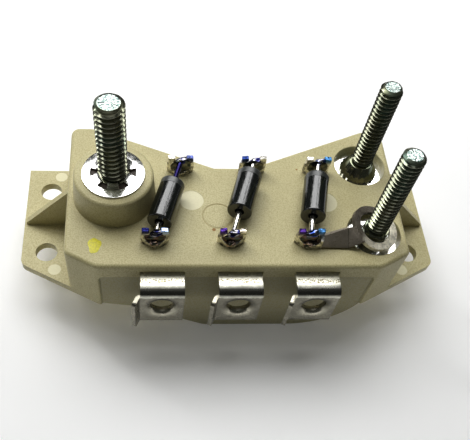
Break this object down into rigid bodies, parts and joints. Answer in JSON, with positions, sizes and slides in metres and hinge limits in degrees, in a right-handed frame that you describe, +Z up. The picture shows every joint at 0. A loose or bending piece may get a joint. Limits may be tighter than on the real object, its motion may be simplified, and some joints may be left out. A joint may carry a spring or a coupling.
{
  "type": "alternator diode trio",
  "caption": "Moulded terminal block that carries small axial diodes between sheet-metal forks, with threaded output studs, phase terminals and bolt-down flanges.",
  "frame": {"origin": "middle of the four flange holes, on the underside of the flanges", "axes": "+X towards the pair of small studs, +Y towards the rear notch, +Z up along the studs"},
  "size_m": [0.0996, 0.047, 0.054],
  "materials": {
    "housing": "moulded thermoset, satin",
    "conductor": "tinned sheet, worn",
    "stud": "dark bright plating",
    "plated_disc": "bright zinc",
    "diode_body": "moulded epoxy, satin",
    "lead": "tinned wire, tinted by resistance welding"
  },
  "bodies": {
    "root": {"housing": "housing", "phase_bar_1": "conductor", "phase_bar_2": "conductor", "phase_bar_3": "conductor", "output_bar": "conductor", "output_link": "conductor", "output_stud": "stud", "rear_stud": "stud", "front_stud": "stud", "push_nut": "plated_disc", "rear_seat_plate": "plated_disc", "front_seat_plate": "plated_disc", "diode_1": "diode_body", "diode_2": "diode_body", "diode_3": "diode_body", "diode_1_rear_lead": "lead", "diode_1_front_lead": "lead", "diode_2_rear_lead": "lead", "diode_2_front_lead": "lead", "diode_3_rear_lead": "lead", "diode_3_front_lead": "lead"}
  },
  "joints": []
}
